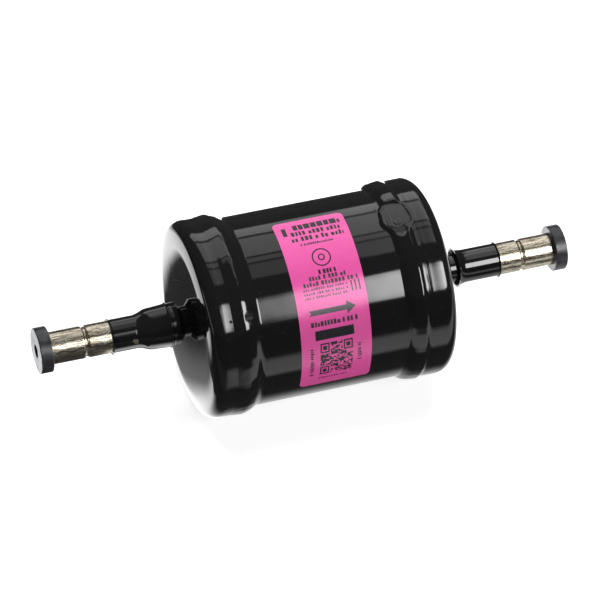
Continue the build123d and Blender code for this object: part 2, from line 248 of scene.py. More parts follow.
def copper_part(tube):
    """Colour of drawn tube, and the streaks along its length that also give its relief."""
    streak = tube.noise(2700.0, 4.0, (0.09, 1, 1))
    stain = tube.noise(450.0, 3.0, (0.4, 1, 1))
    fleck = tube.noise(2600.0, 2.0, (0.5, 1, 1))
    tone = COPPER
    marks = (stain, 0.48, 0.75, 0.6), (streak, 0.44, 0.64, 0.75), (fleck, 0.55, 0.7, 0.6)
    for mark, low, high, most in marks:
        tone = tube.mix(tube.ramp(mark, low, high, 0.0, most), tone, COPPER_DARK)
    return tone, streak


def drawn_copper(name, paint_edge, side):
    """Bare copper tube with black coating on the side of the paint edge next to the shell."""
    ragged_by, blur = 0.5 * MM, 0.05 * MM
    chip_ragged_by, chip_blur = 2.2 * MM, 0.1 * MM
    coated_roughness, bare_roughness = 0.06, 0.27
    tube = Nodes(name, Specular_IOR_Level=0.5)
    tone, streak = copper_part(tube)
    along = tube.add("ShaderNodeSeparateXYZ", Vector=tube.object_point()).outputs["X"]
    outward = tube.maths("MULTIPLY", along, float(side))
    ragged = tube.maths("MULTIPLY_ADD", tube.noise(500.0, 2.0), ragged_by, -ragged_by / 2)
    edge = tube.maths("ADD", outward, ragged)
    bare = tube.ramp(edge, paint_edge - blur, paint_edge + blur)
    point = tube.object_point()
    off = tube.add("ShaderNodeVectorMath", {"operation": "DISTANCE"}, i0=point, i1=CHIP)
    chip = tube.noise(900.0, 3.0)
    chip = tube.maths("MULTIPLY_ADD", chip, chip_ragged_by, off.outputs["Value"])
    chipped = tube.ramp(chip, CHIP_REACH - chip_blur, CHIP_REACH + chip_blur, 1.0, 0.0)
    bare = tube.maths("MAXIMUM", bare, chipped)
    height = tube.maths("MULTIPLY", streak, tube.ramp(bare, 0.0, 1.0, 0.02, 1.0))
    return tube.shade(
        Base_Color=tube.mix(bare, BLACK, tone),
        Metallic=bare,
        Roughness=tube.ramp(bare, 0.0, 1.0, coated_roughness, bare_roughness),
        Normal=tube.bump(height, 0.007 * MM),
    )


def rubber():
    skin = Nodes("plug_rubber", Specular_IOR_Level=0.5)
    bloom = skin.ramp(skin.noise(350.0, 4.0), 0.35, 0.75)
    tone = skin.mix(bloom, colour(0.02, 0.0205, 0.023), colour(0.05, 0.052, 0.058))
    grain = skin.noise(4000.0, 2.0)
    return skin.shade(
        Base_Color=tone,
        Roughness=skin.ramp(bloom, 0.0, 1.0, 0.3, 0.4),
        Normal=skin.bump(grain, 0.03 * MM),
    )


def label_stock():
    stock = Nodes("label_paper", Specular_IOR_Level=0.5)
    mottle = stock.noise(700.0, 3.0)
    tone = stock.mix(mottle, colour(0.9, 0.118, 0.43), colour(0.84, 0.1, 0.395))
    return stock.shade(Base_Color=tone, Roughness=stock.ramp(mottle, 0.3, 0.7, 0.2, 0.26))


def ink():
    printing = Nodes("label_ink", Specular_IOR_Level=0.5)
    wear = printing.noise(3000.0, 3.0)
    fresh, worn = colour(0.01, 0.01, 0.013), colour(0.03, 0.024, 0.032)
    tone = printing.mix(printing.ramp(wear, 0.4, 0.8), fresh, worn)
    return printing.shade(Base_Color=tone, Roughness=printing.ramp(wear, 0.2, 0.8, 0.25, 0.4))


def plain(name, light, dark, roughness, scale, metallic=0.0, relief=0.03 * MM):
    """Mottled colour with fine relief, for the pieces inside and the studio flags."""
    stuff = Nodes(name, Metallic=metallic)
    grain = stuff.noise(scale, 4.0)
    return stuff.shade(
        Base_Color=stuff.mix(grain, light, dark),
        Roughness=stuff.ramp(grain, 0.2, 0.8, roughness, roughness + 0.15),
        Normal=stuff.bump(grain, relief),
    )


coating = black_coating()
rubber_skin = rubber()
ink_black = ink()
stock_pink = label_stock()
steel = plain(
    "bare_steel", colour(0.6, 0.6, 0.61), colour(0.45, 0.45, 0.46), 0.3, 900.0, metallic=1.0
)
desiccant = plain(
    "moulded_desiccant",
    colour(0.84, 0.8, 0.72),
    colour(0.7, 0.66, 0.58),
    0.8,
    1500.0,
    relief=0.2 * MM,
)
felt = plain(
    "felt", colour(0.86, 0.86, 0.84), colour(0.75, 0.75, 0.73), 0.85, 2500.0, relief=0.3 * MM
)
inside = {
    "core_spring": steel,
    "spring_plate": steel,
    "outlet_support_plate": steel,
    "outlet_screen": steel,
    "desiccant_core": desiccant,
    "core_gasket": felt,
    "filter_pad": felt,
    "inlet_braze_ring": coating,
    "outlet_braze_ring": coating,
    "product_label": stock_pink,
}
for name, material in inside.items():
    nodes[name].data.materials.clear()
    nodes[name].data.materials.append(material)

# ---- shell, caps and weld beads ------------------------------------------------------------------

wall = 1.6 * MM  # of shell and caps
chamfer = 0.4 * MM
shell_line = [
    (-shell_end, shell_r - wall),
    (-shell_end, shell_r - chamfer),
    (-shell_end + chamfer, shell_r),
    (shell_end - chamfer, shell_r),
    (shell_end, shell_r - chamfer),
    (shell_end, shell_r - wall),
]
shell_skin = lathe("shell_skin", OUTLET, shell_line, coating)
place(shell_skin, "drier", "black_coating", "shell_tube")

knuckle = 2.8 * MM  # radius of the CAD cap's corner
crown = 300.0 * MM  # radius of its dome
knuckle_x = shell_end + 0.4 * MM
knuckle_r = cap_r - knuckle
crown_centre = knuckle_x - math.sqrt((crown - knuckle) ** 2 - knuckle_r**2)


def crown_x(radius, inset=0.0):
    """Place of the CAD cap's shallow dome at a distance from the axis, or of its inside."""
    return crown_centre + math.sqrt((crown - inset) ** 2 - radius**2)


def cap_line(cover, hole_r):
    """Skirt, rounded corner, shoulder and nearly flat face, closed along the inside."""
    face_x = crown_x(0)
    flat_r, shoulder_r, shoulder_tilt = 24.0 * MM, 30.0 * MM, 12.0
    flat_drop = 0.15 * MM
    tilt = math.radians(shoulder_tilt)
    shoulder = (shoulder_r - flat_r) / math.sin(tilt)
    corner = (cap_r - shoulder_r) / (1 - math.sin(tilt))
    shoulder_x = face_x - flat_drop - shoulder
    corner_x = shoulder_x + (shoulder - corner) * math.cos(tilt)
    skirt = np.linspace(cap_edge + cover, corner_x - 0.2 * MM, 14)
    outer = [(along, cap_r) for along in skirt]
    outer += arc(corner_x, cap_r - corner, corner, 90, shoulder_tilt, 16)
    outer += arc(shoulder_x, flat_r, shoulder, shoulder_tilt, 0, 10)[1:]
    for r in np.linspace(flat_r, hole_r, 12)[1:]:
        outer.append((face_x - flat_drop * (r / flat_r) ** 2, r))
    face_points = 24
    inner = [(along - wall, r) for along, r in outer[: -face_points - 1 : -1]]
    inner += [(corner_x, cap_r - wall), (cap_edge + cover, cap_r - wall)]
    return outer + inner


def weld_line(toe, crest, cover):
    """Lap weld from the shell over its crest, given in millimetres, to the skirt."""
    end = cap_edge + cover
    points = [(cap_edge - toe, shell_r - 0.06 * MM)]
    points += [(a * MM, r * MM) for a, r in crest]
    points += [(end, cap_r + 0.005 * MM), (end + 0.2 * MM, cap_r - 0.1 * MM)]
    return curve(points, 6) + [(cap_edge, shell_r - 0.2 * MM)]


def waves(seed, count=7):
    """Slow irregular wave round the axis, between about -1 and 1."""
    dice = random.Random(seed)
    parts = []
    for k in range(2, 2 + count):
        parts.append((k, dice.uniform(0.4, 1) / k**0.5, dice.uniform(0, 2 * math.pi)))
    total = sum(size for _, size, _ in parts)

    def wave(angle):
        return sum(size * np.cos(k * angle + shift) for k, size, shift in parts) / total

    return wave


def bell_curve(value, middle, width):
    return np.exp(-(((value - middle) / width) ** 2))


def weld_shape(seed, middle, half_width, ripple_count, depth):
    """Hand-laid weld: slow unevenness and shallow bowed ripples that die out at both edges."""
    slow, sway = waves(seed), waves(seed + 1)
    ripple_share, bow_by, sway_by = 0.15, 2.6, 2.0

    def shape(along, angle):
        across = (along - middle) / half_width
        weight = np.exp(-(across**4))
        ripple = np.cos(ripple_count * angle + bow_by * across**2 + sway_by * sway(angle))
        return -weight * depth * (0.5 + 0.5 * slow(angle) + ripple_share * ripple)

    return shape


def skirt_shape(seed, valley, depth, slope_run, dented_by):
    """Hollow between weld and skirt, and the slight dents that welding left round the skirt."""
    sway, dent, twist = waves(seed), waves(seed + 1, 9), waves(seed + 2, 9)
    sway_share, near_width = 0.2, 0.8
    dent_middle, dent_width, dent_slant = 1.0, 2.2, 0.04

    def shape(along, angle):
        beyond = along / MM - valley - slope_run * sway_share * sway(angle)
        far_side = np.clip(1 - beyond / slope_run, 0, 1)
        hollow = np.where(beyond > 0, far_side, bell_curve(beyond, 0, near_width)) * depth
        dented = bell_curve(beyond, dent_middle, dent_width) * dented_by
        return -hollow - dented * (0.5 + 0.5 * dent(angle + dent_slant * beyond) * twist(angle))

    return shape


# Crest of each weld, as (distance from the middle, radius) in millimetres
inlet_crest = [
    (24.9, 31.8),
    (25.7, 32.05),
    (26.6, 32.55),
    (27.6, 33.12),
    (28.6, 33.48),
    (29.6, 33.74),
    (30.5, 33.84),
    (31.6, 33.74),
    (33.2, 33.54),
]
outlet_crest = [
    (24.0, 31.69),
    (24.9, 31.95),
    (25.75, 32.6),
    (26.7, 33.18),
    (27.8, 33.52),
    (28.9, 33.7),
    (29.8, 33.81),
    (30.3, 33.84),
    (30.8, 33.72),
    (31.4, 33.47),
    (32.0, 33.36),
]
# Crest at the one place on the front where the inlet weld is pinched
pinched_crest = [(27.1, 32.87), (30.45, 33.84), (30.9, 33.82)]
inlet_unevenness = weld_shape(11, 30.2 * MM, 3.4 * MM, 46, 0.14 * MM)
outlet_unevenness = weld_shape(23, 28.8 * MM, 3.4 * MM, 46, 0.13 * MM)
inlet_skirt_shape = skirt_shape(31, 34.3, 0.06 * MM, 2.8, 0.06 * MM)
outlet_skirt_shape = skirt_shape(47, 33.0, 0.06 * MM, 0.8, 0.1 * MM)


def height_at(x, points):
    """Height of an open line of (x, height) points."""
    return np.interp(x, *np.transpose(points))


def inlet_shape(along, angle):
    """Uneven weld whose crest is pinched to a ridge at one place on the front."""
    pinch_at, pinch_width = 34.6, 2.7  # degrees up from the front
    x = along / MM
    pinched = np.exp(-(((np.degrees(angle) - pinch_at) / pinch_width) ** 4))
    ridge = height_at(x, pinched_crest) - height_at(x, curve(inlet_crest))
    on_ridge = (x > pinched_crest[0][0]) & (x < pinched_crest[-1][0])
    ridge = np.where(on_ridge, np.minimum(ridge, 0), 0)
    weld = inlet_unevenness(along, angle) + inlet_skirt_shape(along, angle)
    return weld + MM * pinched * ridge


def outlet_shape(along, angle):
    """Uneven weld with a broad flat drop and a ring groove where its end overlaps its start."""
    drop_x, drop_angle = 27.9, 77.0  # millimetres from the middle, degrees up from the front
    half_length, half_height = 5.4, 7.6
    lobes, lobe_share = 5, 0.05
    edge, edge_blur = 0.93, 0.045
    low_x, low_r, slope = 22.5, 32.35, 0.07
    ring_r, ring_width, ring_depth, ring_drop = 1.8, 0.28, 0.05, 1.7
    dimple_width, dimple_depth = 0.5, 0.04
    ripple_depth = 0.005
    surface_r = 33.0

    x = along / MM
    aside = x - drop_x
    across = (np.degrees(angle) - drop_angle) * math.radians(surface_r)  # millimetres round it
    spread = np.hypot(aside / half_length, across / half_height)
    spread = spread + lobe_share * np.sin(lobes * np.arctan2(across, aside))
    within = 1 / (1 + np.exp((spread - edge) / edge_blur))
    drop = low_r + slope * (x - low_x) - height_at(x, outlet_crest)
    swirl = np.hypot(aside * 1.15, (across + ring_drop) * 0.95)
    groove = ring_depth * bell_curve(swirl, ring_r, ring_width)
    groove += dimple_depth * bell_curve(swirl, 0, dimple_width)
    groove += ripple_depth * np.sin(2.3 * x + across) * np.sin(1.7 * across)
    weld = outlet_unevenness(along, angle) + outlet_skirt_shape(along, angle)
    return weld * (1 - within) + within * MM * (drop - groove)


def weld_and_cap(end, side, weld, weld_form, cap, skirt_form):
    """One end's weld bead and cap, turned from their lines and moved by their forms."""
    bead = lathe(end + "_weld", side, weld, coating, weld_form, crease=80, turns=720)
    place(bead, "drier", "black_coating", end + "_weld_bead")
    skin = lathe(end + "_cap_skin", side, cap, coating, skirt_form, crease=80, turns=360)
    place(skin, "drier", "black_coating", end + "_end_cap")


inlet_cover, outlet_cover = 6.4 * MM, 5.0 * MM  # stretch of skirt under each weld
weld_and_cap(
    "inlet",
    INLET,
    weld_line(4.0 * MM, inlet_crest, inlet_cover),
    inlet_shape,
    cap_line(inlet_cover, 5.25 * MM),
    inlet_skirt_shape,
)
weld_and_cap(
    "outlet",
    OUTLET,
    weld_line(5.8 * MM, outlet_crest, outlet_cover),
    outlet_shape,
    cap_line(outlet_cover, 4.77 * MM),
    outlet_skirt_shape,
)

# ---- connections ---------------------------------------------------------------------------------

bore_r = 4.8 * MM
tube_wall = 0.63 * MM
tube_r = bore_r + tube_wall
paint_r = tube_r + 0.17 * MM

# Half of the rolled stop groove, as (distance from its middle, depth) in millimetres
HALF_GROOVE = [(0.95, 0.0), (0.7, 0.08), (0.4, 0.46)]
GROOVE = HALF_GROOVE + [(0.0, 0.52)] + [(-step, depth) for step, depth in HALF_GROOVE[::-1]]


def socket_line(mouth, stop, edge):
    """Bare tube from its mouth to the lip of the paint edge, with the rolled groove."""
    rounding = 0.12 * MM
    line = arc(mouth - rounding, tube_r - rounding, rounding, 0, 90, 5)
    line += curve([(stop + step * MM, tube_r - depth * MM) for step, depth in GROOVE])
    line += [(edge + 0.12 * MM, tube_r), (edge + 0.05 * MM, paint_r + 0.4 * MM)]
    line += [(edge - 0.15 * MM, paint_r + 0.52 * MM), (edge - 0.5 * MM, paint_r)]
    return line


def bore_line(mouth, stop, end):
    """Inside of the tube from its deep end back to the mouth."""
    half_groove, groove_rise = 1.1 * MM, 0.35 * MM
    return [
        (end, bore_r),
        (stop - half_groove, bore_r),
        (stop, bore_r - groove_rise),
        (stop + half_groove, bore_r),
        (mouth, bore_r),
    ]


def connector(end, side, mouth, stop_depth, edge_depth, flare):
    """Copper connector: bare socket, painted stretch and the flare over the nipple."""
    stop, edge = mouth - stop_depth, mouth - edge_depth
    flare_line = curve(flare)
    flare_inside = [(along, r - tube_wall) for along, r in flare_line[::-1]]
    outside = socket_line(mouth, stop, edge) + flare_line
    line = outside + flare_inside + bore_line(mouth, stop, flare[0][0])
    copper = drawn_copper(end + "_copper", edge + 0.1 * MM, side)
    place(lathe(end + "_tube", side, line, copper), "drier", "copper_tube", end + "_connector")


bell = [
    (bell_rim + 12.0 * MM, paint_r),
    (bell_rim + 10.9 * MM, paint_r + 0.03 * MM),
    (bell_rim + 9.2 * MM, paint_r + 0.45 * MM),
    (bell_rim + 7.6 * MM, paint_r + 1.1 * MM),
    (bell_rim + 6.2 * MM, 6.97 * MM),
    (bell_rim + 3.4 * MM, 7.15 * MM),
    (bell_rim + 0.7 * MM, 7.35 * MM),
    (bell_rim + 0.25 * MM, 7.5 * MM),
    (bell_rim, bell_r),
]
trumpet = [
    (trumpet_rim + 5.0 * MM, paint_r),
    (trumpet_rim + 3.9 * MM, paint_r + 0.01 * MM),
    (trumpet_rim + 2.4 * MM, paint_r + 0.15 * MM),
    (trumpet_rim + 1.0 * MM, paint_r + 0.6 * MM),
    (trumpet_rim, trumpet_r),
]
connector("inlet", INLET, inlet_mouth, 12.0 * MM, 20.6 * MM, bell)
connector("outlet", OUTLET, outlet_mouth, 11.1 * MM, 19.2 * MM, trumpet)

seat_r, flange = 8.6 * MM, 1.4 * MM
seat = crown_x(seat_r, wall)  # inside of the cap's face


def nipple(end, side, bore, neck, beyond):
    """Nipple: flange behind the cap's face, neck, and what is beyond it down to the bore."""
    back = seat - flange
    line = [(back, bore), (back, seat_r), (seat, seat_r), (seat, neck), *beyond]
    piece = lathe(end + "_neck", side, line, coating, crease=25)
    place(piece, "drier", "black_coating", end + "_nipple")


inlet_neck_r, inlet_nipple_bore = 5.2 * MM, 4.1 * MM
spigot_r, spigot = 6.22 * MM, 5.6 * MM  # stretch inside the bell
collar_r, collar, collar_rise = 7.15 * MM, 2.6 * MM, 1.7 * MM
bevel = 0.25 * MM
collar_end = nipple_end - spigot
collar_start = collar_end - collar
inlet_nipple_end = [
    (collar_start - collar_rise, inlet_neck_r),
    (collar_start, collar_r),
    (collar_end - bevel, collar_r),
    (collar_end, collar_r - bevel),
    (collar_end, spigot_r),
    (collar_end + spigot, spigot_r),
    (collar_end + spigot, inlet_nipple_bore),
]
outlet_neck_r, outlet_nipple_bore = 4.72 * MM, 3.62 * MM
outlet_neck_end = trumpet_rim + 9.5 * MM
outlet_nipple_end = [(outlet_neck_end, outlet_neck_r), (outlet_neck_end, outlet_nipple_bore)]
nipple("inlet", INLET, inlet_nipple_bore, inlet_neck_r, inlet_nipple_end)
nipple("outlet", OUTLET, outlet_nipple_bore, outlet_neck_r, outlet_nipple_end)

# ---- transit plugs -------------------------------------------------------------------------------

plug_head = 4.2 * MM
plug_round = 0.35 * MM
stem_r = bore_r - 0.25 * MM
rib_r = bore_r - 0.05 * MM
stem = 9.4 * MM
stem_bevel = 0.7 * MM
blind_hole_r, blind_hole = 2.15 * MM, 11.6 * MM
hole_bevel = 0.2 * MM
axis_r = 0.02 * MM  # a point on the axis, kept off it so that the mesh has no doubled points
rib_places = (stem * 0.25, stem * 0.6)


def plug_line(mouth):
    """Blind hole from its floor out to the face, head, stem with two ribs, back to the axis."""
    face, stem_end = mouth + plug_head, mouth - stem
    line = [(face - blind_hole, axis_r), (face - blind_hole, blind_hole_r)]
    line += [(face - hole_bevel, blind_hole_r), (face, blind_hole_r + hole_bevel)]
    line += arc(face - plug_round, plug_r - plug_round, plug_round, 0, 90, 8)
    line += arc(mouth + plug_round, plug_r - plug_round, plug_round, 90, 180, 8)
    line += [(mouth, stem_r)]
    for middle in rib_places:
        for step, radius in ((-0.65, stem_r), (-0.45, rib_r), (0.45, rib_r), (0.65, stem_r)):
            line.append((mouth - middle - step * MM, radius))
    line += [(stem_end + stem_bevel, stem_r), (stem_end, stem_r - stem_bevel), (stem_end, axis_r)]
    return line


for side, end, mouth in ((INLET, "inlet", inlet_mouth), (OUTLET, "outlet", outlet_mouth)):
    name = end + "_plug"
    plug = lathe(name + "_moulding", side, plug_line(mouth), rubber_skin, crease=40, turns=160)
    place(plug, name, "plug_rubber", name)

# ---- label print ---------------------------------------------------------------------------------

label_thickness, ink_lift = 0.1 * MM, 0.012 * MM
print_r = shell_r + label_thickness + ink_lift
vertices, faces = [], []


def on_label(x, degrees):
    """Point on the label, x in millimetres from the middle, degrees up from the front."""
    turn = math.radians(degrees)
    return (x * MM, -print_r * math.cos(turn), print_r * math.sin(turn))


def patch(outline):
    """Printed area inside an outline of (x in millimetres, degrees round the shell)."""
    start = len(vertices)
    vertices.extend(on_label(x, a) for x, a in outline)
    faces.append(tuple(range(start, start + len(outline))))


def taper(top, bottom, top_span, bottom_span):
    """Printed four-sided area between two heights, split so that it follows the shell."""
    steps = max(1, math.ceil(abs(top - bottom)))
    for i in range(steps):
        rows = []
        for share in (i / steps, (i + 1) / steps):
            angle = top + (bottom - top) * share
            left, right = (a + (b - a) * share for a, b in zip(top_span, bottom_span))
            rows.append([(left, angle), (right, angle)])
        patch([rows[0][0], rows[1][0], rows[1][1], rows[0][1]])


def bar(x0, x1, top, bottom):
    """Printed rectangle."""
    taper(top, bottom, (x0, x1), (x0, x1))


def words(x0, x1, top, height, seed, letter=0.9, gap=0.35, space=2.6):
    """Line of greeked lettering, blocks of uneven size with word gaps. The height is in degrees."""
    dice = random.Random(seed)
    x = x0
    while x < x1 - 0.3 * letter:
        width = min(letter * dice.uniform(0.6, 1.0), x1 - x)
        drop = height * dice.choice((0.0, 0.0, 0.25))
        bar(x, x + width, top - drop, top - height)
        x += width + gap * letter * dice.choice((1, 1, 1, space))


def column(x0, x1, top, bottom, seed):
    """Small greeked lettering that runs down the label. Sizes are in degrees."""
    dice = random.Random(seed)
    angle = top
    while angle > bottom:
        size = dice.uniform(0.6, 1.2)
        bar(x0, x1 - dice.choice((0.0, 0.3)), angle, angle - size)
        angle -= size + dice.choice((0.6, 0.6, 1.6))


def ring(x, degrees, outer, inner, count=40):
    """Printed ring, its size in millimetres."""
    per_mm = math.degrees(MM / print_r)
    for i in range(count):
        turns = [2 * math.pi * (i + k) / count for k in (0, 1)]
        corners = [(outer, turns[0]), (outer, turns[1]), (inner, turns[1]), (inner, turns[0])]
        patch([(x + r * math.cos(t), degrees + r * math.sin(t) * per_mm) for r, t in corners])


def blocks(x0, top, x1, bottom, cells, seed):
    """Pseudo-random block pattern with three framed corners."""
    dice = random.Random(seed)
    width, height = (x1 - x0) / cells, (top - bottom) / cells
    corner = 7
    corners = ((0, 0), (cells - corner, 0), (0, cells - corner))
    joined, filled = 0.35, 0.6

    def cell_bar(i0, i1, j0, j1):
        bar(x0 + i0 * width, x0 + i1 * width, top - j0 * height, top - j1 * height)

    def is_clear(i, run, j):
        """Whether a run of cells keeps one cell away from all three corners."""
        for a, b in corners:
            beside = i + run <= a - 1 or i > a + corner
            if not (beside or j > b + corner or j < b - 1):
                return False
        return True

    for i, j in corners:
        cell_bar(i, i + corner, j, j + 1)
        cell_bar(i, i + corner, j + corner - 1, j + corner)
        cell_bar(i, i + 1, j + 1, j + corner - 1)
        cell_bar(i + corner - 1, i + corner, j + 1, j + corner - 1)
        cell_bar(i + 2, i + corner - 2, j + 2, j + corner - 2)
    for j in range(cells):
        i = 0
        while i < cells:
            run = 1
            while i + run < cells and dice.random() < joined:
                run += 1
            if is_clear(i, run, j) and dice.random() < filled:
                cell_bar(i, i + run, j, j + 1)
            i += run


# Generic print, from the top of the label down: widths in millimetres, heights in degrees
bar(-10.0, -8.6, 86.0, 79.4)
words(-6.0, 10.0, 87.2, 4.2, 1, 2.3, 0.16, 1)
words(-7.4, 9.4, 81.6, 3.2, 2, 1.1, 0.4)
words(-7.9, 9.8, 77.2, 3.2, 3, 1.1, 0.4)
words(-5.6, 5.4, 72.0, 1.5, 4, 0.6, 0.45)
ring(-0.23, 61.1, 3.2, 2.75)
ring(-0.23, 61.1, 1.2, 0.75, 24)
words(-2.6, 4.0, 53.6, 2.8, 7, 1.1, 0.25)
words(-6.2, 6.6, 50.2, 2.5, 8, 0.95, 0.4)
words(-8.6, 10.6, 46.9, 2.5, 9, 0.95, 0.4)
for line, seed in ((43.5, 12), (41.0, 13), (38.5, 14)):
    words(-9.0, 6.0, line, 1.4, seed, 0.6, 0.5)
for left in (7.1, 8.4, 9.7):
    bar(left, left + 0.5, 44.0, 37.6)
arrow, shaft, head = 28.9, 1.55, 3.9  # middle and half heights of the flow arrow
tail, neck, tip = -8.6, 4.4, 7.5
notch = tail + 0.8
for way in (1, -1):
    taper(arrow + way * shaft, arrow, (tail, neck), (notch, neck))
    taper(arrow + way * head, arrow, (neck, neck + 0.05), (neck, tip))
words(-8.4, 8.0, 23.4, 3.0, 15, 1.05, 0.3)
bar(-7.3, 6.0, 17.8, 11.6)
blocks(-5.8, 9.2, 5.3, -14.8, 25, 16)
column(-9.2, -8.0, 6.5, -15.5, 17)
column(7.0, 8.4, 5.0, -8.0, 18)
words(-6.0, 4.4, -17.6, 1.2, 19, 0.6, 0.6)
label_print = add_mesh("label_print", vertices, faces, ink_black)
place(label_print, "drier", "label_paper")

# ---- weld spatter --------------------------------------------------------------------------------


def blobs(name, spots, material):
    """Small domed drops: (side, along, degrees, radius of the surface, size) in millimetres."""
    verts, quads = [], []
    rows, columns = 6, 14
    sunk = 0.35
    for side, along, degrees, base_r, size in spots:
        turn = math.radians(degrees)
        out = Vector((0, -math.cos(turn), math.sin(turn)))
        across = Vector((0, math.sin(turn), math.cos(turn)))
        centre = Vector((side * along, 0, 0)) + out * (base_r - sunk * size)
        start = len(verts)
        for i in range(rows + 1):
            lift = math.pi / 2 * i / rows
            for j in range(columns):
                spin = 2 * math.pi * j / columns
                flat = Vector((math.cos(spin), 0, 0)) + across * math.sin(spin)
                verts.append((centre + (flat * math.cos(lift) + out * math.sin(lift)) * size) * MM)
        for i in range(rows):
            for j in range(columns):
                k = (j + 1) % columns
                below, above = start + i * columns, start + (i + 1) * columns
                quads.append((below + j, below + k, above + k, above + j))
    return add_mesh(name, verts, quads, material)


spatter = [
    (INLET, 35.0, 33.8, 33.4, 0.55),
    (INLET, 34.3, 109.9, 33.4, 0.3),
    (INLET, 36.8, 24.0, 33.4, 0.3),
    (INLET, 18.0, 20.9, 31.75, 0.28),
    (INLET, 25.2, 21.5, 32.0, 0.25),
    (INLET, 36.2, 60.0, 33.4, 0.22),
    (OUTLET, 25.3, 99.3, 32.2, 0.35),
    (OUTLET, 24.2, 52.9, 31.8, 0.3),
    (OUTLET, 25.2, 50.6, 32.1, 0.25),
    (OUTLET, 25.9, 48.6, 32.5, 0.3),
    (OUTLET, 24.4, 49.0, 31.9, 0.22),
    (OUTLET, 23.0, 87.4, 31.75, 0.3),
    (OUTLET, 34.1, 45.0, 33.4, 0.2),
]
place(blobs("weld_spatter", spatter, coating), "drier", "black_coating")

# ---- studio --------------------------------------------------------------------------------------


def stage_mesh(name, vertices, faces, material):
    piece = add_mesh(name, vertices, faces, material)
    return piece


def sheet(name, half_width, near, far, material):
    """Rectangle from its near edge to its far edge, each edge given as (y, z)."""
    corners = [(-half_width, *near), (half_width, *near), (half_width, *far), (-half_width, *far)]
    return stage_mesh(name, corners, [(0, 1, 2, 3)], material)


def floor_material():
    """White paper that glows for the camera and in reflections, but adds no diffuse light."""
    paper = Nodes("floor_paper", Roughness=0.9, Specular_IOR_Level=0.0)
    grain = paper.noise(3.0, 2.0)
    tone = paper.mix(grain, colour(0.71, 0.71, 0.71), colour(0.69, 0.69, 0.69))
    path = paper.add("ShaderNodeLightPath").outputs
    seen = paper.maths("ADD", path["Is Glossy Ray"], path["Is Transmission Ray"])
    glow = paper.maths("MULTIPLY", paper.maths("ADD", seen, path["Is Camera Ray"]), 0.8)
    return paper.shade(Base_Color=tone, Emission_Color=WHITE, Emission_Strength=glow)


floor_z = -bead_r
floor_half = 6.0
sheet("floor", floor_half, (-floor_half, floor_z), (floor_half, floor_z), floor_material())

# Softboxes of the dome. Low edge, high edge and their softness in degrees round the axis from the
# front, left edge, right edge and their softness along the axis, strength, and how far the left
# and right edges lean for each degree away from a height in degrees.
PANELS = (
    (21.0, 45.5, 4.0, 0.15, 0.62, 0.04, 2.6, 0.0035, 45.0),
    (17.5, 49.0, 1.6, 0.265, 0.62, 0.045, 12.0, 0.0, 0.0),
    (73.0, 91.5, 1.5, 0.2, 0.45, 0.03, 0.6, 0.0065, 73.0),
    (94.0, 100.0, 0.8, 0.2, 0.6, 0.03, 0.8, 0.0065, 73.0),
    (102.5, 131.5, 1.0, 0.2, 0.7, 0.03, 1.25, 0.0065, 73.0),
    (135.0, 150.0, 1.5, 0.2, 0.8, 0.03, 1.6, 0.0065, 73.0),
    (72.0, 151.0, 1.5, 0.27, 0.45, 0.03, 0.6, 0.0, 0.0),
)
DIM_ROOM = 0.08


def dome_material():
    """Softboxes and dim room that the gloss reflects, by direction from the drier."""
    sky = Nodes("studio_dome")
    sky.tree.nodes.remove(sky.shader)
    point = sky.add("ShaderNodeVectorMath", {"operation": "NORMALIZE"}, i0=sky.object_point())
    axes = sky.add("ShaderNodeSeparateXYZ", Vector=point.outputs[0]).outputs
    front = sky.maths("MULTIPLY", axes["Y"], -1.0)
    rise = sky.maths("DEGREES", sky.maths("ARCTAN2", axes["Z"], front))
    total = DIM_ROOM
    for low, high, soft, left, right, fade, strength, lean, upright in PANELS:
        along = sky.maths("MULTIPLY_ADD", sky.maths("SUBTRACT", rise, upright), lean, axes["X"])
        tall, wide = sky.band(rise, low, high, soft), sky.band(along, left, right, fade)
        light = sky.maths("MULTIPLY", sky.maths("MULTIPLY", tall, wide), strength)
        total = sky.maths("ADD", light, total)
    return sky.glow(total)


def dome(name, radius, rows, columns, material):
    """Sphere round the drier."""
    verts = []
    for i in range(rows + 1):
        lift = math.pi * i / rows - math.pi / 2
        for j in range(columns):
            spin = 2 * math.pi * j / columns
            flat = radius * math.cos(lift)
            verts.append((flat * math.cos(spin), flat * math.sin(spin), radius * math.sin(lift)))
    quads = []
    for i in range(rows):
        for j in range(columns):
            k = (j + 1) % columns
            below, above = i * columns, (i + 1) * columns
            quads.append((below + j, below + k, above + k, above + j))
    return stage_mesh(name, verts, quads, material)


def gloss_only(piece):
    """Seen in reflections, but not by the camera, and without light or shadow of its own."""
    piece.visible_camera = False
    piece.visible_diffuse = False
    piece.visible_shadow = False
    piece.visible_transmission = False


gloss_only(dome("studio_dome", 4.0, 48, 96, dome_material()))


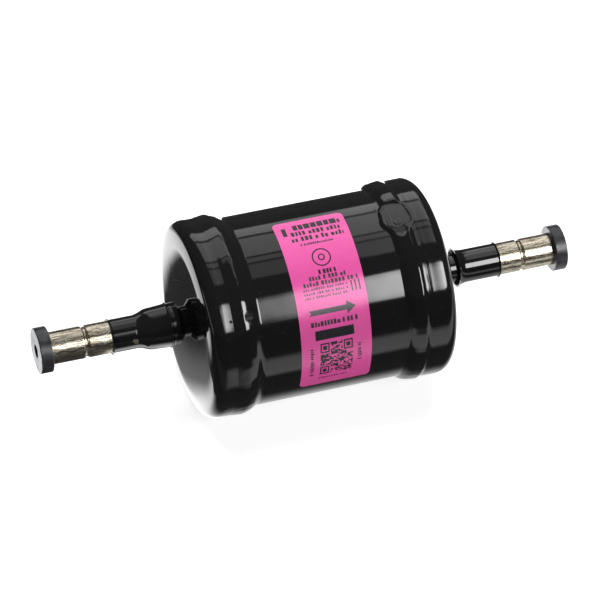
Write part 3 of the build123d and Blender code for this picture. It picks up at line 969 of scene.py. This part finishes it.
def painted_light_card_material():
    """Glowing card that paints the paper round the drier as its gloss sees it: painted shadow close
    under it, painted light behind.
    """
    card = Nodes("painted_light_ground_card")
    card.tree.nodes.remove(card.shader)
    axes = card.add("ShaderNodeSeparateXYZ", Vector=card.object_point()).outputs
    back, along = axes["Y"], axes["X"]

    def rise(value, low, high):
        """0 to 1 between two places in millimetres."""
        return card.ramp(value, low * MM, high * MM)

    def product(*factors):
        value = factors[0]
        for factor in factors[1:]:
            value = card.maths("MULTIPLY", value, factor)
        return value

    # Painted floor light in front of the drier, and below and behind it, with painted shadow in the
    # strip between the front patch and the paper below it
    within = rise(along, -38, -32)
    outside = card.maths("SUBTRACT", 1.0, within)
    front = product(rise(back, -115, -84), card.ramp(back, -58 * MM, -50 * MM, 1.0, 0.0))
    front = product(front, card.maths("MULTIPLY_ADD", rise(along, -48, -12), 0.95, 0.08))
    under = card.maths("MULTIPLY", rise(back, -29, -18), 0.8)
    behind = card.maths("MULTIPLY", rise(back, 4, 45), 2.4)
    middle = product(within, card.maths("ADD", under, behind))

    # Left of the drier: a painted dark leaning oval on painted bright paper that ends at the left
    # and in front
    oval_x, oval_y, oval_lean = -63 * MM, 50 * MM, math.radians(12.0)
    half_length, half_width = 32 * MM, 14 * MM
    lean_cos, lean_sin = math.cos(oval_lean), math.sin(oval_lean)
    across = card.maths("ADD", along, -oval_x)
    deep = card.maths("SUBTRACT", back, oval_y)
    lengthways = card.maths("MULTIPLY", deep, lean_cos)
    lengthways = card.maths("MULTIPLY_ADD", across, -lean_sin, lengthways)
    crossways = card.maths("MULTIPLY", deep, lean_sin)
    crossways = card.maths("MULTIPLY_ADD", across, lean_cos, crossways)
    tighten = card.ramp(lengthways, -10 * MM, 10 * MM, 0.86, 1.35)
    lengthways = product(lengthways, tighten, 1 / half_length)
    crossways = product(crossways, tighten, 1 / half_width)
    away = card.maths("MULTIPLY", crossways, crossways)
    away = card.maths("SQRT", card.maths("MULTIPLY_ADD", lengthways, lengthways, away))
    near = product(card.ramp(away, 0.5, 1.2), card.ramp(lengthways, -0.4, 0.1, 0.35, 0.0))
    halo = card.maths("MULTIPLY_ADD", card.ramp(away, 1.15, 1.6), 2.3, near)
    front_edge = card.maths("MULTIPLY_ADD", rise(along, -68, -60), 36 * MM, back)
    halo = product(outside, halo, rise(along, -175, -135), rise(front_edge, 8, 26))
    halo = product(halo, card.ramp(back, 110 * MM, 160 * MM, 1.0, 0.3))

    # Painted shade: the least glow, left where the card is darkest
    dimmest = 0.06
    total = card.maths("ADD", front, card.maths("ADD", middle, halo))
    return card.glow(card.maths("ADD", total, dimmest))


flag_cloth = plain("flag_cloth", colour(0.06, 0.06, 0.06), colour(0.05, 0.05, 0.05), 0.9, 50.0)
flag_half, front_y, back_y = 0.5, -0.145, 0.17
for name, y, height in (("front_flag", front_y, 0.075), ("back_flag", back_y, 0.07)):
    gloss_only(sheet(name, flag_half, (y, floor_z), (y, floor_z + height), flag_cloth))
# Glowing card just over the floor that paints light and shadow into reflections only
card_z = floor_z + 0.2 * MM
card_edges = (front_y, card_z), (back_y, card_z)
gloss_only(sheet("painted_light_ground_card", flag_half, *card_edges, painted_light_card_material()))


def lamp(name, location, size, power):
    """Softbox aimed at the drier, not seen in its gloss."""
    light = bpy.data.lights.new(name, "AREA")
    light.shape = "RECTANGLE"
    light.size, light.size_y = size
    light.energy = power
    obj = bpy.data.objects.new(name, light)
    bpy.context.scene.collection.objects.link(obj)
    obj.location = location
    obj.rotation_euler = (-Vector(location)).to_track_quat("-Z", "Y").to_euler()
    obj.visible_glossy = False


lamp("top_softbox", (0.1, 0.35, 1.3), (1.2, 0.8), 18.5)
lamp("front_softbox", (0.35, -1.15, 0.75), (0.9, 0.6), 8.0)

# White where the camera sees it, directly or through a clear piece, and nearly dark for the rest
WORLD_SEEN, WORLD_UNSEEN = 1.0, 0.006
world = bpy.data.worlds.new("studio_world")
bpy.context.scene.world = world
world.use_nodes = True
tree = world.node_tree
background = tree.nodes["Background"]
background.inputs["Color"].default_value = WHITE
rays = tree.nodes.new("ShaderNodeLightPath").outputs
seen = tree.nodes.new("ShaderNodeMath")
seen.operation = "ADD"
level = tree.nodes.new("ShaderNodeMapRange")
level.inputs["To Min"].default_value = WORLD_UNSEEN
level.inputs["To Max"].default_value = WORLD_SEEN
tree.links.new(rays["Is Camera Ray"], seen.inputs[0])
tree.links.new(rays["Is Transmission Ray"], seen.inputs[1])
tree.links.new(seen.outputs[0], level.inputs["Value"])
tree.links.new(level.outputs["Result"], background.inputs["Strength"])

# ---- camera --------------------------------------------------------------------------------------

# Fitted to the outlines in the photo
azimuth, elevation = math.radians(-18.1208), math.radians(37.7373)
target = Vector((-2.496, 0.0, -0.6616)) * MM
distance = 1.35
level_part = math.cos(elevation)
back = Vector(
    (math.sin(azimuth) * level_part, -math.cos(azimuth) * level_part, math.sin(elevation))
)
camera_data = bpy.data.cameras.new("camera")
camera_data.sensor_width = 36.0
camera_data.lens = 243.52
camera = bpy.data.objects.new("camera", camera_data)
bpy.context.scene.collection.objects.link(camera)
camera.location = target + back * distance
camera.rotation_euler = (-back).to_track_quat("-Z", "Y").to_euler()
bpy.context.scene.camera = camera
bpy.context.scene.view_settings.view_transform = "Standard"
